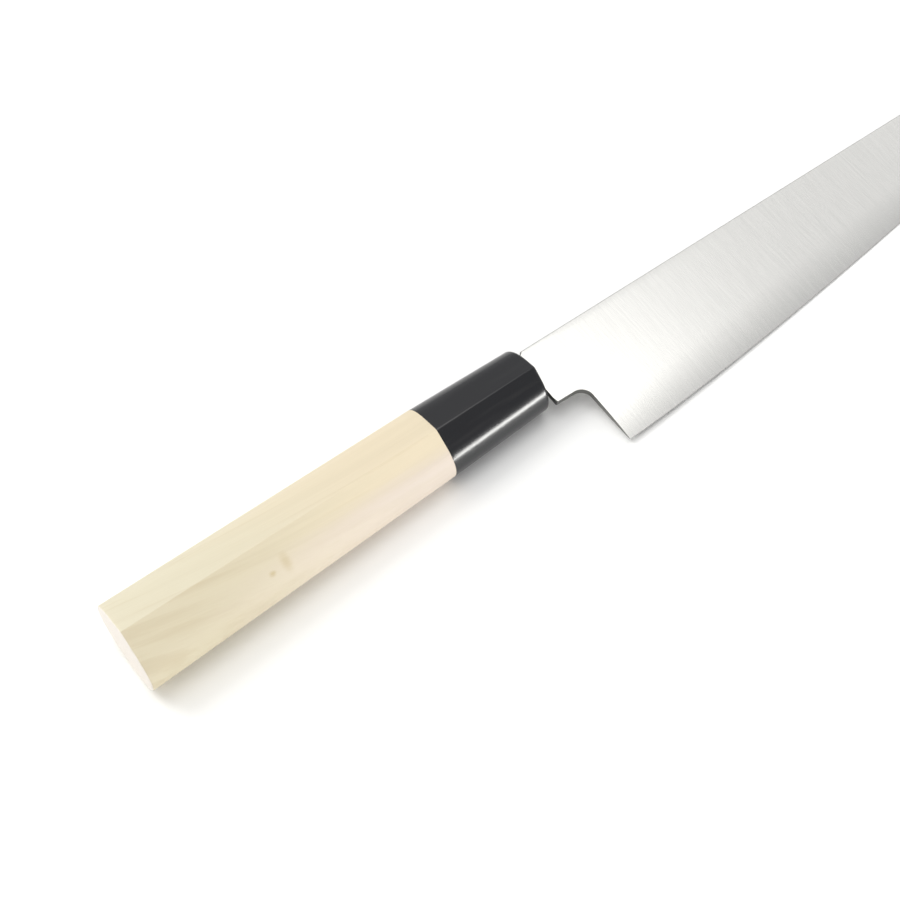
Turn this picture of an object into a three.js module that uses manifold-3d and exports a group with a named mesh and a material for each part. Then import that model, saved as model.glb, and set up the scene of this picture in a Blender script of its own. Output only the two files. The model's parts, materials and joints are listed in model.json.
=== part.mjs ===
// Slicing knife with a hidden tang: blade, horn ferrule, magnolia grip, tang bedding and mouth seal.
// Sizes are in millimetres. The knife is drawn along X with its butt at x = 0, its spine towards +Y and its
// right face towards +Z. It is then laid down on its left side, the way it comes to rest on a table, +Z up.
import * as THREE from "three";
import { mergeVertices } from "three/addons/utils/BufferGeometryUtils.js";
import Module from "manifold-3d";

const wasm = await Module();
wasm.setup();

// Handle, from the butt to the ferrule's mouth
const HANDLE_LENGTH = 140;
const FERRULE_LENGTH = 36;
const BUTT_SOFTENING = 0.6;
const MOUTH_ROUNDING = 1.0;

// Handle section at the butt: level of its back, height, half thickness, and how far the ridge lies below
// the back and stands proud of the oval
const BUTT_BACK_LEVEL = 13.7;
const BUTT_HEIGHT = 27.2;
const BUTT_HALF_THICKNESS = 10.8;
const BUTT_RIDGE_DROP = 13.7;
const BUTT_RIDGE_RISE = 1.4;

// The same where the wood meets the ferrule
const SEAM_BACK_LEVEL = 14.3;
const SEAM_HEIGHT = 23.6;
const SEAM_HALF_THICKNESS = 9.1;
const SEAM_RIDGE_DROP = 13.0;
const SEAM_RIDGE_RISE = 1.25;

// The same at the ferrule's mouth
const MOUTH_BACK_LEVEL = 13.7;
const MOUTH_HEIGHT = 20.7;
const MOUTH_HALF_THICKNESS = 8.3;
const MOUTH_RIDGE_DROP = 11.7;
const MOUTH_RIDGE_RISE = 0.9;

// Fits inside the handle, from the outside in
const MOUTH_WALL = 16;
const FERRULE_WALL = 1.5;
const TENON_WALL = 0.6;
const BEDDING_WALL = 0.6;
const SEAL_DEPTH = 6;
const GLUE_LINE = 0.3;

// Tang: its width follows from the room in the tenon, its length from the solid wood left behind it
const BUTT_SOLID_LENGTH = 44;
const TANG_END_WIDTH = 5.5;

// Neck, shoulders and heel
const SHOULDER_GAP = 2.5;
const SHOULDER_SLANT = 1.2;
const NECK_LENGTH = 12.5;
const NECK_HEIGHT = 19.6;
const NECK_DROP = 1.0;
const CHOIL_RADIUS = 2.5;

// Blade outline
const BLADE_LENGTH = 270;
const HEEL_HEIGHT = 41.1;
const SPINE_LEVEL = 11.4;
const SPINE_FALL_LENGTH = 122;
const TIP_DROP = 6.7;
const TIP_LAND = 0.5;
const EDGE_HEEL_RUN = 60;
const EDGE_HEEL_RISE = 1;
const EDGE_TIP_RUN = 68;
const EDGE_TIP_RISE = 17.5;

// Blade section: flat upper faces, a convex grind down to the cutting edge and a small edge bevel
const SPINE_THICKNESS = 2.3;
const TIP_THICKNESS = 1.0;
const FACE_TAPER = 0.16;
const SPINE_SOFTENING = 0.3;
const GRIND_HEIGHT = 14.5;
const EDGE_BEVEL_HEIGHT = 0.6;
const EDGE_BEVEL_THICKNESS = 0.42;
const EDGE_LAND = 0.04;

// Fineness of the faceted shapes
const SECTION_SIDES = 44;
const ROUND_SIDES = 40;
const BLADE_STATIONS = 40;
const GRIND_ROWS = 5;
const ROUNDING_STEPS = 4;
const SAME_POINT = 1e-5;
const TOUCH = 1e-3;

// Densities in grams per cubic millimetre, which settle how the knife lies
const STEEL_DENSITY = 7.75e-3;
const HORN_DENSITY = 1.28e-3;
const WOOD_DENSITY = 0.5e-3;
const RESIN_DENSITY = 1.15e-3;

// Places along the knife
const seamX = HANDLE_LENGTH - FERRULE_LENGTH;
const tenonFrontX = HANDLE_LENGTH - MOUTH_WALL;
const shoulderX = HANDLE_LENGTH + SHOULDER_GAP;
const heelX = HANDLE_LENGTH + NECK_LENGTH;
const tipX = heelX + BLADE_LENGTH;
const tangEndX = BUTT_SOLID_LENGTH;

const blend = THREE.MathUtils.lerp;

// The handle's section is an oval with one ridge on its right side, joined by flats that touch the oval.
function section(back, height, halfThickness, ridgeDrop, ridgeRise) {
  const halfHeight = height / 2;
  return { middle: back - halfHeight, halfHeight, halfThickness, ridge: back - ridgeDrop, ridgeRise };
}

const buttSection = section(
  BUTT_BACK_LEVEL, BUTT_HEIGHT, BUTT_HALF_THICKNESS, BUTT_RIDGE_DROP, BUTT_RIDGE_RISE);
const seamSection = section(
  SEAM_BACK_LEVEL, SEAM_HEIGHT, SEAM_HALF_THICKNESS, SEAM_RIDGE_DROP, SEAM_RIDGE_RISE);
const mouthSection = section(
  MOUTH_BACK_LEVEL, MOUTH_HEIGHT, MOUTH_HALF_THICKNESS, MOUTH_RIDGE_DROP, MOUTH_RIDGE_RISE);

function sectionAt(x) {
  const [from, to, share] = x < seamX
    ? [buttSection, seamSection, x / seamX]
    : [seamSection, mouthSection, (x - seamX) / FERRULE_LENGTH];
  const between = {};
  for (const key of Object.keys(from)) {
    between[key] = blend(from[key], to[key], share);
  }
  return between;
}

// One ring of the handle's outline at x, drawn in by inset all round.
function handleRing(x, inset = 0) {
  const shape = sectionAt(x);
  const half = shape.halfHeight - inset;
  const depth = shape.halfThickness - inset;
  const ridgeY = (shape.ridge - shape.middle) / shape.halfHeight;
  const ridgeZ = Math.sqrt(1 - ridgeY ** 2) + shape.ridgeRise / shape.halfThickness;
  const ridgeTurn = Math.atan2(ridgeZ, ridgeY);
  const flatTurn = Math.acos(1 / Math.hypot(ridgeY, ridgeZ));
  const ring = [new THREE.Vector3(x, shape.middle + half * ridgeY, depth * ridgeZ)];
  for (let side = 0; side <= SECTION_SIDES; side += 1) {
    const turn = blend(ridgeTurn + flatTurn, ridgeTurn - flatTurn + 2 * Math.PI, side / SECTION_SIDES);
    ring.push(new THREE.Vector3(x, shape.middle + half * Math.cos(turn), depth * Math.sin(turn)));
  }
  return ring;
}

// Skins a row of rings of equal count and closes both ends with a fan.
function loft(rings) {
  const count = rings[0].length;
  const points = rings.flat();
  const faces = [];
  for (let row = 0; row + 1 < rings.length; row += 1) {
    for (let i = 0; i < count; i += 1) {
      const a = row * count + i;
      const b = row * count + (i + 1) % count;
      faces.push(a, b, a + count, b, b + count, a + count);
    }
  }
  const ends = [[rings[0], 0], [rings.at(-1), points.length - count]];
  ends.forEach(([ring, first], end) => {
    const hub = points.length;
    const centre = new THREE.Vector3();
    ring.forEach((point) => centre.addScaledVector(point, 1 / count));
    points.push(centre);
    for (let i = 0; i < count; i += 1) {
      const a = first + i;
      const b = first + (i + 1) % count;
      faces.push(hub, ...(end === 0 ? [b, a] : [a, b]));
    }
  });
  const geometry = new THREE.BufferGeometry().setFromPoints(points);
  geometry.setIndex(faces);
  return geometry;
}

// Closed geometry to a solid that can be cut and joined, and back.
function solid(geometry) {
  const bare = geometry.clone();
  bare.deleteAttribute("normal");
  bare.deleteAttribute("uv");
  const merged = mergeVertices(bare, SAME_POINT);
  const vertProperties = new Float32Array(merged.attributes.position.array);
  const triVerts = new Uint32Array(merged.index.array);
  return new wasm.Manifold(new wasm.Mesh({ numProp: 3, vertProperties, triVerts }));
}

function geometryOf(body) {
  const mesh = body.getMesh();
  const geometry = new THREE.BufferGeometry();
  geometry.setAttribute("position", new THREE.BufferAttribute(new Float32Array(mesh.vertProperties), 3));
  geometry.setIndex(new THREE.BufferAttribute(new Uint32Array(mesh.triVerts), 1));
  return geometry;
}

// A flat outline in X and Y, given thickness evenly about the knife's middle plane.
function plate(shape, thickness) {
  const geometry = new THREE.ExtrudeGeometry(shape, { depth: thickness, bevelEnabled: false });
  return solid(geometry.translate(0, 0, -thickness / 2));
}

// The tang and the tenon are centred on the ferrule's mouth, and the mortise leaves the ferrule its wall.
const tangLevel = mouthSection.middle;
const tenonSeat = sectionAt(tenonFrontX);
const tenonSeatRoom = tenonSeat.halfHeight - Math.abs(tenonSeat.middle - tangLevel);
const mortiseRadius = Math.min(tenonSeat.halfThickness, tenonSeatRoom) - FERRULE_WALL;
const tenonRadius = mortiseRadius - GLUE_LINE;
const sleeveMargin = GLUE_LINE + BEDDING_WALL;
const socketMargin = sleeveMargin + GLUE_LINE;
const socketHalfDepth = SPINE_THICKNESS / 2 + socketMargin;
const socketHalfWidth = Math.sqrt((tenonRadius - TENON_WALL) ** 2 - socketHalfDepth ** 2);
const tangHalfWidth = socketHalfWidth - socketMargin;

function round(radius, fromX, toX) {
  const geometry = new THREE.CylinderGeometry(radius, radius, toX - fromX, ROUND_SIDES);
  geometry.rotateZ(Math.PI / 2);
  return solid(geometry.translate((fromX + toX) / 2, tangLevel, 0));
}

// The tang's outline with a margin all round: straight in the ferrule, tapering in the wood.
function tangBody(fromX, toX, margin) {
  const widthAt = (x) => {
    const share = Math.max(0, (tenonFrontX - x) / (tenonFrontX - tangEndX));
    return blend(tangHalfWidth, TANG_END_WIDTH / 2, share) + margin;
  };
  const stops = [fromX, ...(fromX < tenonFrontX && tenonFrontX < toX ? [tenonFrontX] : []), toX];
  const upper = stops.map((x) => new THREE.Vector2(x, tangLevel + widthAt(x)));
  const lower = stops.map((x) => new THREE.Vector2(x, tangLevel - widthAt(x)));
  return plate(new THREE.Shape([...lower, ...upper.reverse()]), SPINE_THICKNESS + 2 * margin);
}

function makeGrip() {
  const rings = [
    handleRing(0, BUTT_SOFTENING), handleRing(BUTT_SOFTENING), handleRing(seamX - GLUE_LINE)];
  const tenon = round(tenonRadius, tangEndX, tenonFrontX);
  const socket = tangBody(tangEndX - socketMargin, HANDLE_LENGTH, socketMargin);
  return solid(loft(rings)).add(tenon).subtract(socket);
}

function makeFerrule() {
  const rings = [handleRing(seamX)];
  for (let step = 0; step <= ROUNDING_STEPS; step += 1) {
    const turn = (step / ROUNDING_STEPS) * Math.PI / 2;
    const inset = MOUTH_ROUNDING * (1 - Math.cos(turn));
    rings.push(handleRing(HANDLE_LENGTH - MOUTH_ROUNDING * (1 - Math.sin(turn)), inset));
  }
  const mortise = round(mortiseRadius, tangEndX, tenonFrontX + GLUE_LINE);
  const slot = tangBody(tenonFrontX, shoulderX, socketMargin);
  return solid(loft(rings)).subtract(mortise).subtract(slot);
}

// The bedding fills the socket up to the seal, and the seal fills the ferrule's mouth, both round the tang.
const sealBackX = HANDLE_LENGTH - SEAL_DEPTH;


function makeBedding() {
  const outside = tangBody(tangEndX - sleeveMargin, sealBackX - GLUE_LINE, sleeveMargin);
  return outside.subtract(tangBody(tangEndX - GLUE_LINE, shoulderX, GLUE_LINE));
}

function makeSeal() {
  const outside = tangBody(sealBackX, HANDLE_LENGTH, sleeveMargin);
  return outside.subtract(tangBody(tenonFrontX, shoulderX, GLUE_LINE));
}

// Blade outline: the cutting edge is one long curve from heel to tip, and the spine is straight, then falls.
const heelLevel = SPINE_LEVEL - HEEL_HEIGHT;
const tipLevel = SPINE_LEVEL - TIP_DROP;
const edgeCurve = new THREE.CubicBezierCurve(
  new THREE.Vector2(heelX, heelLevel),
  new THREE.Vector2(heelX + EDGE_HEEL_RUN, heelLevel + EDGE_HEEL_RISE),
  new THREE.Vector2(tipX - EDGE_TIP_RUN, tipLevel - EDGE_TIP_RISE),
  new THREE.Vector2(tipX, tipLevel));

function spineLevelAt(x) {
  const share = Math.max(0, 1 - (tipX - x) / SPINE_FALL_LENGTH);
  return SPINE_LEVEL - (TIP_DROP - TIP_LAND) * share ** 2;
}

// Half the blade's section at x, from the spine down to the edge, as levels and half thicknesses.
function bladeProfile(x, edgeLevel) {
  const spineLevel = spineLevelAt(x);
  const height = spineLevel - edgeLevel;
  const share = height / HEEL_HEIGHT;
  const alongShare = Math.max(0, (x - heelX) / BLADE_LENGTH);
  const atSpine = blend(SPINE_THICKNESS, TIP_THICKNESS, alongShare) / 2;
  const faceSlope = FACE_TAPER / HEEL_HEIGHT;
  const faceAt = (level) => atSpine - faceSlope * (SPINE_LEVEL - level);
  const softening = Math.min(SPINE_SOFTENING, height / 4);
  const bevel = Math.min(EDGE_BEVEL_HEIGHT, height / 4);
  const grindTop = edgeLevel + Math.max(GRIND_HEIGHT * share, 2 * bevel);
  const bevelTop = edgeLevel + bevel;
  const bevelHalf = EDGE_BEVEL_THICKNESS / 2;
  const profile = [
    [spineLevel, faceAt(spineLevel) - softening],
    [spineLevel - softening, faceAt(spineLevel - softening)],
    [grindTop, faceAt(grindTop)]];
  for (let row = 1; row <= GRIND_ROWS; row += 1) {
    const down = row / GRIND_ROWS;
    const level = blend(grindTop, bevelTop, down);
    const flat = faceAt(level);
    profile.push([level, flat - (faceAt(bevelTop) - bevelHalf) * down ** 2]);
  }
  profile.push([edgeLevel, EDGE_LAND / 2]);
  return profile;
}

function bladeRing(x, edgeLevel) {
  const profile = bladeProfile(x, edgeLevel);
  const right = profile.map(([level, half]) => new THREE.Vector3(x, level, half));
  const left = profile.map(([level, half]) => new THREE.Vector3(x, level, -half)).reverse();
  return [...right, ...left];
}

// What the steel is cut to behind the heel: tang, shoulders, neck and the round choil.
function bladeBlank() {
  const above = SPINE_LEVEL + HEEL_HEIGHT;
  const below = heelLevel - HEEL_HEIGHT;
  const neckLevel = SPINE_LEVEL - NECK_HEIGHT;
  const choilLevel = neckLevel - NECK_DROP;
  const shape = new THREE.Shape();
  shape.moveTo(tangEndX, tangLevel - TANG_END_WIDTH / 2);
  shape.lineTo(tenonFrontX, tangLevel - tangHalfWidth);
  shape.lineTo(shoulderX, tangLevel - tangHalfWidth);
  shape.lineTo(shoulderX, neckLevel);
  shape.lineTo(heelX - CHOIL_RADIUS, choilLevel);
  shape.absarc(heelX - CHOIL_RADIUS, choilLevel - CHOIL_RADIUS, CHOIL_RADIUS, Math.PI / 2, 0, true);
  shape.lineTo(heelX, below);
  shape.lineTo(tipX + HEEL_HEIGHT, below);
  shape.lineTo(tipX + HEEL_HEIGHT, above);
  shape.lineTo(shoulderX + SHOULDER_SLANT, above);
  shape.lineTo(shoulderX + SHOULDER_SLANT, tangLevel + tangHalfWidth);
  shape.lineTo(tenonFrontX, tangLevel + tangHalfWidth);
  shape.lineTo(tangEndX, tangLevel + TANG_END_WIDTH / 2);
  return plate(shape, 2 * SPINE_THICKNESS);
}

function makeBlade() {
  const rings = [bladeRing(tangEndX - GLUE_LINE, heelLevel)];
  for (let station = 0; station <= BLADE_STATIONS; station += 1) {
    const point = edgeCurve.getPoint(station / BLADE_STATIONS);
    rings.push(bladeRing(point.x, point.y));
  }
  return solid(loft(rings)).intersect(bladeBlank());
}

const steel = new THREE.MeshStandardMaterial({ color: 0xdcdcd7, roughness: 0.34, metalness: 1 });
const horn = new THREE.MeshStandardMaterial({ color: 0x1b1c1f, roughness: 0.28, metalness: 0 });
const magnolia = new THREE.MeshStandardMaterial({ color: 0xecdfc1, roughness: 0.62, metalness: 0 });
const resin = new THREE.MeshStandardMaterial({ color: 0xc8a869, roughness: 0.45, metalness: 0 });
const sealant = new THREE.MeshStandardMaterial({ color: 0x2b2826, roughness: 0.6, metalness: 0 });

const knife = new THREE.Group();

function addPiece(name, body, material, density) {
  const mesh = new THREE.Mesh(geometryOf(body), material);
  mesh.name = name;
  knife.add(mesh);
  return { body: mesh.geometry, density };
}

const pieces = [
  addPiece("blade", makeBlade(), steel, STEEL_DENSITY),
  addPiece("ferrule", makeFerrule(), horn, HORN_DENSITY),
  addPiece("grip", makeGrip(), magnolia, WOOD_DENSITY),
  addPiece("tang_bedding", makeBedding(), resin, RESIN_DENSITY),
  addPiece("mouth_seal", makeSeal(), sealant, RESIN_DENSITY)];

// Centre of mass of all pieces, summed over the tetrahedra between the origin and each face.
function centreOfMass() {
  const moment = new THREE.Vector3();
  let mass = 0;
  for (const { body, density } of pieces) {
    const position = body.attributes.position;
    const corners = [0, 1, 2].map(() => new THREE.Vector3());
    for (let i = 0; i < body.index.count; i += 3) {
      corners.forEach((corner, c) => corner.fromBufferAttribute(position, body.index.getX(i + c)));
      const [a, b, c] = corners;
      const share = density * a.dot(b.clone().cross(c)) / 6;
      mass += share;
      moment.addScaledVector(a.clone().add(b).add(c), share / 4);
    }
  }
  return moment.divideScalar(mass);
}

// The table touches the three points that hold the centre of mass between them, with no point below.
function tableUnder(points, centre) {
  for (let i = 0; i < points.length; i += 1) {
    for (let j = i + 1; j < points.length; j += 1) {
      for (let k = j + 1; k < points.length; k += 1) {
        const corners = [points[i], points[j], points[k]];
        const table = new THREE.Plane().setFromCoplanarPoints(...corners);
        if (table.normal.z < 0) {
          table.negate();
        }
        const clear = points.every((point) => table.distanceToPoint(point) > -TOUCH);
        const foot = table.projectPoint(centre, new THREE.Vector3());
        if (clear && THREE.Triangle.containsPoint(foot, ...corners)) {
          return table;
        }
      }
    }
  }
  throw new Error("the knife finds no rest on its left side");
}

function layDown() {
  const underHandle = [BUTT_SOFTENING, seamX, HANDLE_LENGTH - MOUTH_ROUNDING]
    .flatMap((x) => handleRing(x))
    .filter((point) => point.z < -MOUTH_HALF_THICKNESS / 2);
  const underEdge = edgeCurve.getPoints(BLADE_STATIONS).flatMap(({ x, y }) => {
    const [bevelTop, edge] = bladeProfile(x, y).slice(-2);
    return [bevelTop, edge].map(([level, half]) => new THREE.Vector3(x, level, -half));
  });
  const up = tableUnder([...underHandle, ...underEdge], centreOfMass()).normal;
  const forward = new THREE.Vector3(1, 0, 0).projectOnPlane(up).normalize();
  const left = up.clone().cross(forward);
  knife.quaternion.setFromRotationMatrix(new THREE.Matrix4().makeBasis(forward, left, up).transpose());
  knife.updateMatrixWorld(true);
  const box = new THREE.Box3().setFromObject(knife, true);
  const centre = box.getCenter(new THREE.Vector3());
  knife.position.set(-centre.x, -centre.y, -box.min.z);
}

layDown();

export default knife;
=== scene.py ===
"""Slicing knife with a hidden tang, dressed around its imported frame.

Lengths are in metres. Each piece is drawn in the knife's own axes, with the butt at the origin, +X towards
the tip, +Y towards the spine and +Z out of the right face, and is then laid where the frame says.
"""

import json
import math
from typing import NamedTuple

import bpy
import numpy as np
from bpy.props import FloatProperty, FloatVectorProperty, IntProperty, PointerProperty
from mathutils import Matrix, Vector
from mathutils.geometry import interpolate_bezier


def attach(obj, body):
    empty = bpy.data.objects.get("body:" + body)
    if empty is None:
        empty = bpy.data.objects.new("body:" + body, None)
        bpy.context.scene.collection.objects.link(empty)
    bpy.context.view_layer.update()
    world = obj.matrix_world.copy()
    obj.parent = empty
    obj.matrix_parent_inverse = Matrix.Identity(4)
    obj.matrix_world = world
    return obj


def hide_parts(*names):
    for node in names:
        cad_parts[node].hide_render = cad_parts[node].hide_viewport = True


bl_info = {
    "name": "Slicing Knife",
    "version": (1, 0, 0),
    "blender": (4, 5, 0),
    "location": "View3D > Sidebar > Knife",
    "description": "Builds a hidden-tang slicing knife piece by piece on its frame, with its stage",
    "category": "Add Mesh",
}

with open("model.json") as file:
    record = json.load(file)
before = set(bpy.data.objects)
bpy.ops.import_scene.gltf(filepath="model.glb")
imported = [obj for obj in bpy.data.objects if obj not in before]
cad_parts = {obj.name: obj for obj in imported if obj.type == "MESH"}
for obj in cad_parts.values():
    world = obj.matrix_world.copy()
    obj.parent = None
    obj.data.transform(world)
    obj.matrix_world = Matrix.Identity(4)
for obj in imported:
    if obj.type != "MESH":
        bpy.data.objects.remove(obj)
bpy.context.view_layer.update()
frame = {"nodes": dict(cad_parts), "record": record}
BODY = "root"
# The face attribute that marks the blade's narrow walls, where its material paints shade and adds roughness.
WALLS = "narrow_walls"

# Corners of a solid this near along the knife are one ring, and points of a tree this near are one point.
SAME_PLACE = 2e-5
SAME_POINT = 1e-6
# Edges that turn by more than these degrees stay sharp.
SHARP_ON_BLADE = 9
SHARP_ON_HANDLE = 40
TENON_SIDES = 96
SEAL_DIP_STEPS = 8
# How strongly the steps up the heel's back crowd towards the heel.
HEEL_CROWDING = 1.5
# The camera's sensor in millimetres, and the nearest that it sees in metres.
SENSOR_WIDTH = 36.0
NEAREST_SEEN = 0.01

SECTION_NOTES = {
    "back": "Level of the handle's back here",
    "height": "Height of the section from back to belly",
    "half_thickness": "Depth of the oval to the left side",
    "ridge_drop": "How far the ridge lies below the back",
    "ridge_rise": "How far the ridge stands proud of the oval",
}
# How much thinner on the left and deeper below the handle is than its solids, at three places along it.
BUTT_TRIM = (0.0, 0.0004)
SEAM_TRIM = (0.00004, 0.00018)
MOUTH_TRIM = (0.00009, 0.00045)

# The cell along X, Y and Z and the seed of each kind of streak in the materials.
STREAKS = {
    "polish_fine": ((0.00013, 0.02, 0.02), 3.0),
    "polish_broad": ((0.0011, 0.06, 0.06), 8.0),
    "satin": ((0.0007, 0.014, 0.014), 5.0),
    "horn_cloud": ((0.05, 0.0022, 0.0022), 5.0),
    "horn_hair": ((0.012, 0.0002, 0.0002), 2.0),
    "wood_sway": ((0.12, 0.005, 0.009), 1.0),
    "wood_broad": ((0.12, 0.0024, 0.005), 2.0),
    "wood_lines": ((0.14, 0.0009, 0.002), 3.0),
    "wood_grain": ((0.02, 0.00022, 0.0004), 4.0),
    "wood_pores": ((0.003, 0.0001, 0.00016), 6.0),
    "end_pores": ((0.0003, 0.0003, 0.0003), 11.0),
    "resin_cloud": ((0.004, 0.004, 0.004), 1.0),
    "sealant_pits": ((0.0004, 0.0004, 0.0004), 7.0),
}
# The grain's slope at the butt, how that slope changes along the knife, and the slope of the ridge's line.
GRAIN_SLOPE = 0.2
GRAIN_BEND = -1.1
RIDGE_SLOPE = 0.0125
# Each pin knot's place along and across the grip, its reach both ways and its strength.
PIN_KNOTS = (
    (0.0424, -0.0076, 0.0014, 0.0009, 0.58),
    (0.0472, -0.0068, 0.0020, 0.0030, 0.38),
)
# Where the tree's heart lies beside the butt, and how far apart its growth rings are.
TREE_HEART = (0.0, 0.026, -0.019)
RING_WIDTH = 0.0019

# Directions from the knife in which the room is darker: above the viewer, and beyond the knife.
VIEWER_SIDE = (0.4, -0.66, 0.63)
FAR_SIDE = (0.42, 0.69, 0.59)
FAR_SIDE_SHADE = 0.48


class Lamp(NamedTuple):
    """A flat soft lamp that faces the knife, turned by some degrees; its glow is set against white at 1."""

    name: str
    towards: tuple
    distance: float
    width: float
    height: float
    glow: float
    degrees: float = 0.0


LAMPS = (
    Lamp("key_softbox", (0.113, 0.012, 0.993), 2.0, 1.35, 1.2, 1.36, -28.0),
    Lamp("back_softbox", (-0.35, 0.6, 0.72), 2.0, 0.9, 0.9, 5.2),
    Lamp("left_softbox", (-0.95, -0.1, 0.25), 1.5, 0.7, 0.7, 1.5),
    Lamp("right_softbox", (0.9, 0.2, 0.39), 2.0, 0.9, 0.7, 1.6),
    Lamp("front_softbox", (0.45, -0.87, 0.13), 1.5, 0.4, 0.2, 14.0),
    Lamp("front_fill", (0.4, -0.91, 0.05), 1.45, 0.9, 0.14, 22.0),
)


def knife_axes():
    """The knife's own axes in the frame, read from its mounts."""
    mounts = {mount["name"]: mount for mount in frame["record"]["mounts"]}
    along = -Vector(mounts["butt_end"]["axis"])
    right = Vector(mounts["blade_right_face"]["axis"]) - Vector(mounts["blade_left_face"]["axis"])
    right.normalize()
    axes = Matrix((along, right.cross(along), right)).transposed().to_4x4()
    axes.translation = Vector(mounts["butt_end"]["pos_m"])
    return axes


LAID = knife_axes()


def corners_of(node):
    """A CAD node's corners in the knife's own axes."""
    into_knife = LAID.inverted()
    return [into_knife @ vertex.co for vertex in frame["nodes"][node].data.vertices]


def ring_at(corners, x):
    """The corners that lie at x along the knife."""
    return [corner for corner in corners if abs(corner.x - x) < SAME_PLACE]


def half_span(ring):
    """Half of a ring's height."""
    return (max(corner.y for corner in ring) - min(corner.y for corner in ring)) / 2


GRIP = corners_of("grip")
FERRULE = corners_of("ferrule")
BLADE = corners_of("blade")
MOUTH_X = max(corner.x for corner in FERRULE)
SEAM_X = min(corner.x for corner in FERRULE)
TENON_FRONT_X = max(corner.x for corner in GRIP)
TANG_END_X = min(corner.x for corner in BLADE)
TIP_X = max(corner.x for corner in BLADE)
# Where the rounded edges of the butt and of the mouth begin, the latter well past the bore for the tenon.
BUTT_RING_X = min(corner.x for corner in GRIP if corner.x > SAME_PLACE)
MOUTH_RING_X = min(corner.x for corner in FERRULE if corner.x > TENON_FRONT_X + MOUTH_X / 20)
HEEL = min(BLADE, key=lambda corner: corner.y)
SPINE_LEVEL = max(corner.y for corner in BLADE)
TIP_LEVEL = min(corner.y for corner in ring_at(BLADE, TIP_X))
TENON_RING = ring_at(GRIP, TENON_FRONT_X)
TANG_RING = ring_at(BLADE, TENON_FRONT_X)
TANG_END_RING = ring_at(BLADE, TANG_END_X)
TENON_RADIUS = half_span(TENON_RING)
TANG_LEVEL = max(corner.y for corner in TENON_RING) - TENON_RADIUS


def length(name, default, description):
    """A length that a user can change."""
    return FloatProperty(name=name, description=description, default=default, unit="LENGTH", precision=5)


def angle(name, degrees, description):
    """An angle that a user can change."""
    return FloatProperty(
        name=name, description=description, default=math.radians(degrees), subtype="ANGLE")


def number(name, default, description):
    """A plain number that a user can change."""
    return FloatProperty(name=name, description=description, default=default, precision=3)


def count(name, default, description):
    """A number of steps that a user can change."""
    return IntProperty(name=name, description=description, default=default, min=1)


def place(name, default, description):
    """A point in the frame that a user can move."""
    return FloatVectorProperty(
        name=name, description=description, default=default, subtype="XYZ", unit="LENGTH", precision=4)


def colour(name, default, description):
    """A colour that a user can change."""
    return FloatVectorProperty(
        name=name, description=description, default=default, subtype="COLOR", min=0, max=1)


def in_words(key):
    """A setting's key as panels and sockets show it."""
    return key.replace("_", " ").title()


def oval_depth(level, back, height):
    """How deep the handle's oval is at a level, as a share of its half thickness."""
    return math.sqrt(1 - ((level - back) / (height / 2) + 1) ** 2)


def measure_section(ring, thinner, deeper):
    """The handle's section in a ring of corners, made thinner on the left and deeper below."""
    ridge = max(ring, key=lambda corner: corner.z)
    back = max(corner.y for corner in ring)
    height = back - min(corner.y for corner in ring) + deeper
    half_thickness = -min(corner.z for corner in ring) - thinner
    rise = ridge.z - half_thickness * oval_depth(ridge.y, back, height)
    return dict(zip(SECTION_NOTES, (back, height, half_thickness, back - ridge.y, rise)))


def section_settings(name, ring, trim):
    """A property group for one section of the handle, with the trimmed sizes of a ring as defaults."""
    measured = measure_section(ring, *trim)
    fields = {key: length(in_words(key), measured[key], note) for key, note in SECTION_NOTES.items()}
    return type(name, (bpy.types.PropertyGroup,), {"__annotations__": fields})


ButtSection = section_settings("ButtSection", ring_at(GRIP, BUTT_RING_X), BUTT_TRIM)
SeamSection = section_settings("SeamSection", ring_at(FERRULE, SEAM_X), SEAM_TRIM)
MouthSection = section_settings("MouthSection", ring_at(FERRULE, MOUTH_RING_X), MOUTH_TRIM)


class HandleSettings(bpy.types.PropertyGroup):
    """Sizes of the grip, the ferrule and the seal in its mouth."""

    butt: PointerProperty(type=ButtSection)
    seam: PointerProperty(type=SeamSection)
    mouth: PointerProperty(type=MouthSection)
    butt_softening: length("Butt Softening", 0.0006, "Rounding of the edge at the butt")
    mouth_rounding: length("Mouth Rounding", 0.0010, "Rounding of the ferrule's front edge")
    mouth_bow: length("Mouth Bow", 0.0006, "How far the ferrule's front stands out on the ridge's side")
    joint_softening: length("Joint Softening", 0.00008, "Rounding of both edges where wood meets horn")
    joint_line: length("Joint Line", 0.00003, "Gap left between wood and horn")
    butt_ridge_softness: angle("Butt Ridge Softness", 0.7, "How far round the ridge is eased at the butt")
    seam_ridge_softness: angle("Seam Ridge Softness", 2.4, "How far round it is eased where wood meets horn")
    mouth_ridge_softness: angle("Mouth Ridge Softness", 0.5, "How far round it is eased at the mouth")
    slot_margin: length("Slot Margin", 0.0012, "Room round the tang for its bedding and the seal")
    seal_depth: length("Seal Depth", 0.006, "How far the seal reaches into the mouth")
    seal_dip: length("Seal Dip", 0.0005, "How far the seal's face sinks between horn and steel")
    sides: count("Sides", 256, "Steps round the handle")
    rows: count("Rows", 28, "Steps along each piece of the handle")
    rounding_steps: count("Rounding Steps", 7, "Steps in each rounded edge")


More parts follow.
